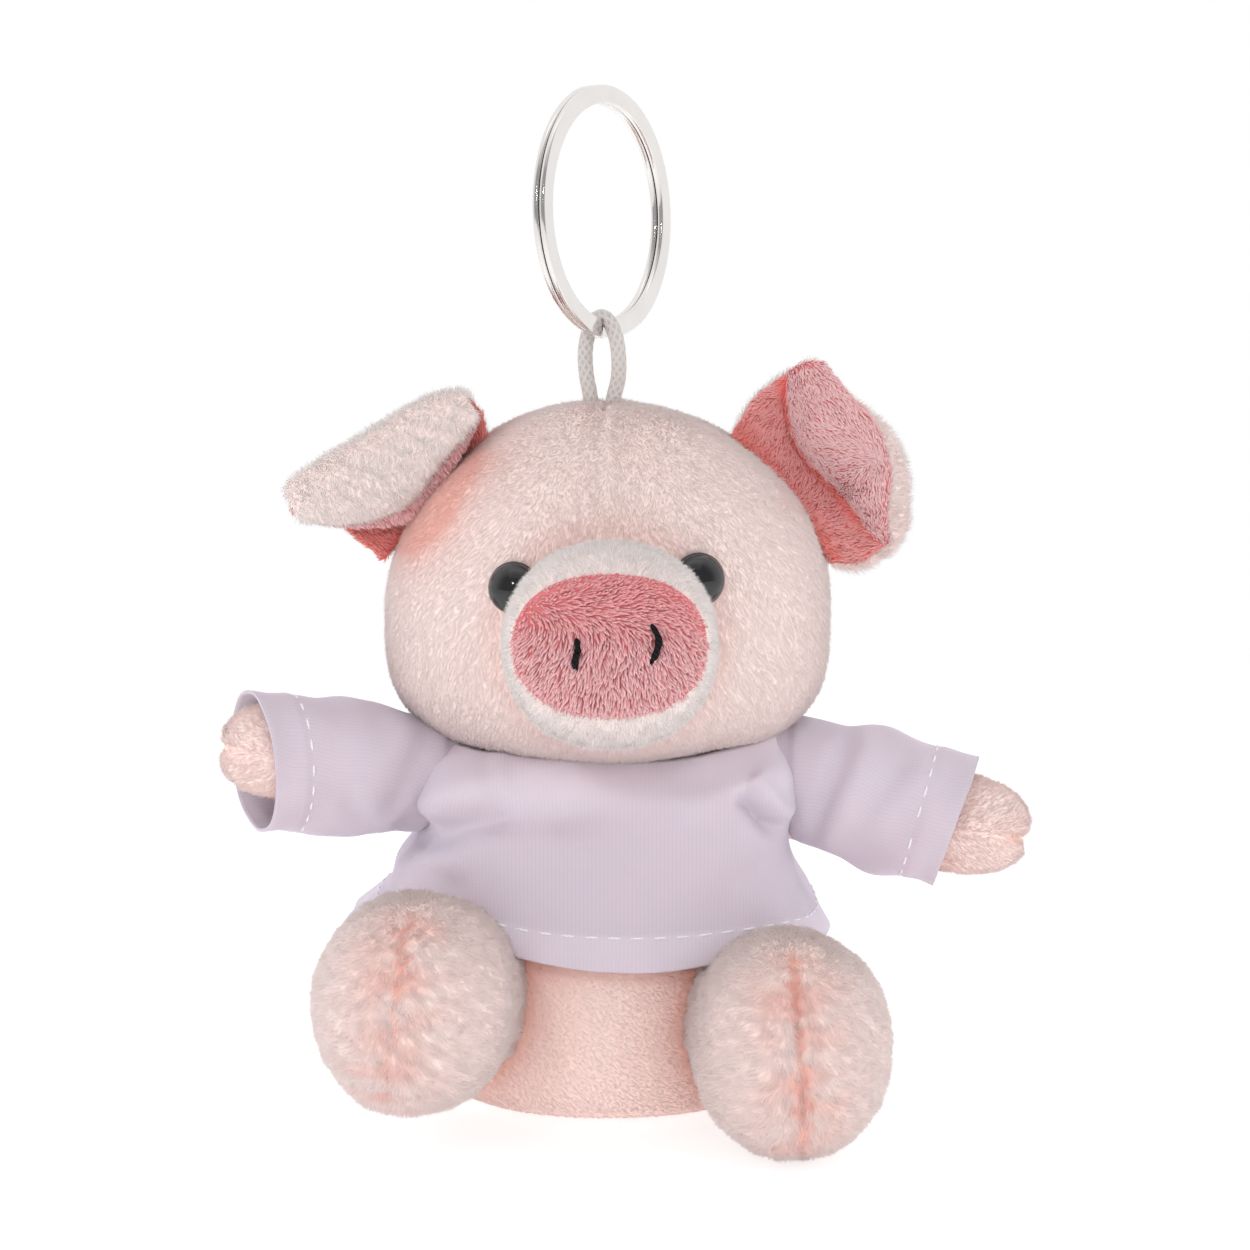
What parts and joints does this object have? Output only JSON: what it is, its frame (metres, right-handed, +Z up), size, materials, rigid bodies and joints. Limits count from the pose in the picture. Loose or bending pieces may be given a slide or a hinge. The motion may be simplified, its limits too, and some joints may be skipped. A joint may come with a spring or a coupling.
{
  "type": "plush pig key ring charm",
  "caption": "Small sitting plush pig in a short-sleeved jersey T-shirt, with a cord loop and a flat split ring on its head.",
  "frame": {"origin": "middle of the foot of the box round the whole charm, on the surface it sits on", "axes": "+Z up, the face towards -Y, the pig's own left towards +X"},
  "size_m": [0.0955, 0.0649, 0.1215],
  "materials": {
    "pale_plush": "pale pink short-pile plush",
    "pink_plush": "rose pink short-pile plush",
    "fibre_fill": "loose polyester fibre",
    "lilac_jersey": "matt single jersey",
    "black_plastic": "polished",
    "black_thread": "matt thread",
    "white_cord": "round braid",
    "bright_steel": "nickel plated spring steel",
    "clear_plastic": "moulded"
  },
  "bodies": {
    "torso": {"body_cover": "pale_plush", "body_filling": "fibre_fill", "shirt_front": "lilac_jersey", "shirt_back": "lilac_jersey"},
    "head": {"head_cover": "pale_plush", "head_filling": "fibre_fill", "muzzle_cover": "pale_plush", "muzzle_filling": "fibre_fill", "snout_patch": "pink_plush", "nostril_stitch_left": "black_thread", "nostril_stitch_right": "black_thread", "eye_left": "black_plastic", "eye_right": "black_plastic", "eye_washer_left": "clear_plastic", "eye_washer_right": "clear_plastic"},
    "ear_left": {"ear_back_left": "pale_plush", "ear_lining_left": "pink_plush"},
    "ear_right": {"ear_back_right": "pale_plush", "ear_lining_right": "pink_plush"},
    "cord": {"hang_loop": "white_cord", "loop_knot": "white_cord"},
    "ring": {"key_ring": "bright_steel"},
    "arm_left": {"arm_cover_left": "pale_plush", "arm_filling_left": "fibre_fill", "sleeve_left": "lilac_jersey"},
    "arm_right": {"arm_cover_right": "pale_plush", "arm_filling_right": "fibre_fill", "sleeve_right": "lilac_jersey"},
    "leg_left": {"leg_cover_left": "pale_plush", "leg_filling_left": "fibre_fill"},
    "leg_right": {"leg_cover_right": "pale_plush", "leg_filling_right": "fibre_fill"}
  },
  "joints": [
    {"name": "head_turn", "type": "hinge", "parent": "torso", "child": "head", "pos_m": [-0.00205, 0.00935, 0.0418], "axis": [0, 0, 1], "range_deg": [-20, 20], "stiffness_Nm_per_rad": 0.05},
    {"name": "arm_left_swing", "type": "hinge", "parent": "torso", "child": "arm_left", "pos_m": [0.01845, 0.00635, 0.0388], "axis": [0, 0, 1], "range_deg": [-18, 12], "stiffness_Nm_per_rad": 0.03},
    {"name": "arm_right_swing", "type": "hinge", "parent": "torso", "child": "arm_right", "pos_m": [-0.02255, 0.00635, 0.0388], "axis": [0, 0, 1], "range_deg": [-12, 18], "stiffness_Nm_per_rad": 0.03},
    {"name": "leg_left_swing", "type": "hinge", "parent": "torso", "child": "leg_left", "pos_m": [0.01445, -0.00345, 0.01087], "axis": [0, 0, 1], "range_deg": [-8, 12], "stiffness_Nm_per_rad": 0.03},
    {"name": "leg_right_swing", "type": "hinge", "parent": "torso", "child": "leg_right", "pos_m": [-0.01855, -0.00345, 0.01087], "axis": [0, 0, 1], "range_deg": [-12, 8], "stiffness_Nm_per_rad": 0.03},
    {"name": "ear_left_flap", "type": "hinge", "parent": "head", "child": "ear_left", "pos_m": [0.01848, 0.00923, 0.07269], "axis": [0.5468, -0.0024, -0.8372], "range_deg": [-15, 15], "stiffness_Nm_per_rad": 0.01},
    {"name": "ear_right_flap", "type": "hinge", "parent": "head", "child": "ear_right", "pos_m": [-0.02258, 0.00923, 0.07269], "axis": [-0.5468, -0.0024, -0.8372], "range_deg": [-15, 15], "stiffness_Nm_per_rad": 0.01},
    {"name": "loop_swing", "type": "hinge", "parent": "head", "child": "cord", "pos_m": [-0.00265, 0.00835, 0.084], "axis": [0.866, -0.4951, 0.0696], "range_deg": [-35, 35]},
    {"name": "ring_tilt", "type": "hinge", "parent": "cord", "child": "ring", "pos_m": [-0.00265, 0.00958, 0.09271], "axis": [0.5, 0.8576, -0.1205], "range_deg": [-90, 90]}
  ]
}
